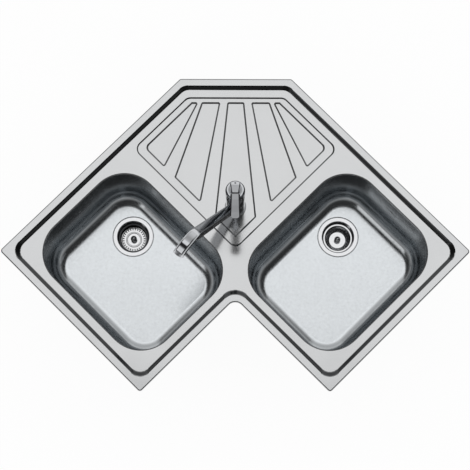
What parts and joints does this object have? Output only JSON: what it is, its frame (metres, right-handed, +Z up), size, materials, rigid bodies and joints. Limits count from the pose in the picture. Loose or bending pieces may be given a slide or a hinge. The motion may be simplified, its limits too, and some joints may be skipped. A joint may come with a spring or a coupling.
{
  "type": "corner kitchen sink with mixer tap",
  "caption": "Stainless corner sink set into a worktop, with bowls on both legs, a fluted drainer in the corner, strainer baskets, wastes with overflows and a swivelling lever tap.",
  "frame": {"origin": "middle of the rim gasket's underside along the slanting back edge, on the worktop's upper face", "axes": "+X to the right, +Y towards the corner of the room, +Z up; seen from the front, the open side of the L"},
  "size_m": [1.1672, 0.7957, 0.554],
  "materials": {
    "sheet": "fine satin stainless sheet",
    "bowl_sheet": "polished stainless sheet, deep drawn",
    "polished_steel": "polished stainless",
    "zinc_steel": "zinc-plated steel",
    "chrome": "bright chrome plate",
    "brass": "machined brass",
    "seal_rubber": "matt black rubber",
    "foam": "closed-cell foam",
    "bitumen": "sound-deadening pad",
    "waste_plastic": "moulded polypropylene",
    "hose_plastic": "flexible hose",
    "tap_plastic": "moulded acetal",
    "ceramic": "polished alumina"
  },
  "bodies": {
    "sink": {"deck_panel": "sheet", "left_bowl": "bowl_sheet", "right_bowl": "bowl_sheet", "left_waste_cup": "polished_steel", "right_waste_cup": "polished_steel", "left_centre_screw": "polished_steel", "right_centre_screw": "polished_steel", "left_overflow_screw": "polished_steel", "right_overflow_screw": "polished_steel", "clip_brackets": "zinc_steel", "clips": "zinc_steel", "clip_screws": "zinc_steel", "tap_support_plate": "zinc_steel", "tap_clamp_washer": "zinc_steel", "tap_base_ring": "chrome", "tap_sleeve": "chrome", "tap_core": "brass", "tap_shank_nut": "brass", "cartridge_nut": "brass", "left_flange_seal": "seal_rubber", "right_flange_seal": "seal_rubber", "left_lower_seal": "seal_rubber", "right_lower_seal": "seal_rubber", "left_overflow_gasket": "seal_rubber", "right_overflow_gasket": "seal_rubber", "tap_base_seal": "seal_rubber", "tap_under_seal": "seal_rubber", "spout_o_rings": "seal_rubber", "cartridge_seals": "seal_rubber", "rim_gasket": "foam", "left_sound_pad": "bitumen", "right_sound_pad": "bitumen", "left_waste_body": "waste_plastic", "right_waste_body": "waste_plastic", "left_overflow_box": "waste_plastic", "right_overflow_box": "waste_plastic", "left_overflow_hose": "hose_plastic", "right_overflow_hose": "hose_plastic", "cartridge": "tap_plastic", "spout_slip_rings": "tap_plastic", "cartridge_discs": "ceramic"},
    "spout_arm": {"tap_spout": "chrome", "aerator_housing": "chrome", "aerator_insert": "tap_plastic", "aerator_seal": "seal_rubber"},
    "handle": {"handle_carrier": "tap_plastic", "handle_pin": "zinc_steel", "handle_dome": "chrome"},
    "lever_arm": {"lever": "chrome", "lever_stem": "zinc_steel", "lever_grub_screw": "zinc_steel", "lever_plug": "tap_plastic"},
    "left_strainer": {"left_basket": "polished_steel", "left_basket_knob": "polished_steel", "left_basket_seal": "seal_rubber"},
    "right_strainer": {"right_basket": "polished_steel", "right_basket_knob": "polished_steel", "right_basket_seal": "seal_rubber"}
  },
  "joints": [
    {"name": "spout_swivel", "type": "hinge", "parent": "sink", "child": "spout_arm", "pos_m": [0, -0.32158, 0.0375], "axis": [0, 0, 1], "range_deg": [-32, 108]},
    {"name": "lever_turn", "type": "hinge", "parent": "sink", "child": "handle", "pos_m": [0, -0.32158, 0.1775], "axis": [0, 0, 1], "range_deg": [-45, 45]},
    {"name": "lever_lift", "type": "hinge", "parent": "handle", "child": "lever_arm", "pos_m": [0, -0.32158, 0.1775], "axis": [-1, 0, 0], "range_deg": [0, 25]},
    {"name": "left_basket_lift", "type": "slide", "parent": "sink", "child": "left_strainer", "axis": [0, 0, 1], "range_m": [0, 0.055]},
    {"name": "right_basket_lift", "type": "slide", "parent": "sink", "child": "right_strainer", "axis": [0, 0, 1], "range_m": [0, 0.055]}
  ]
}
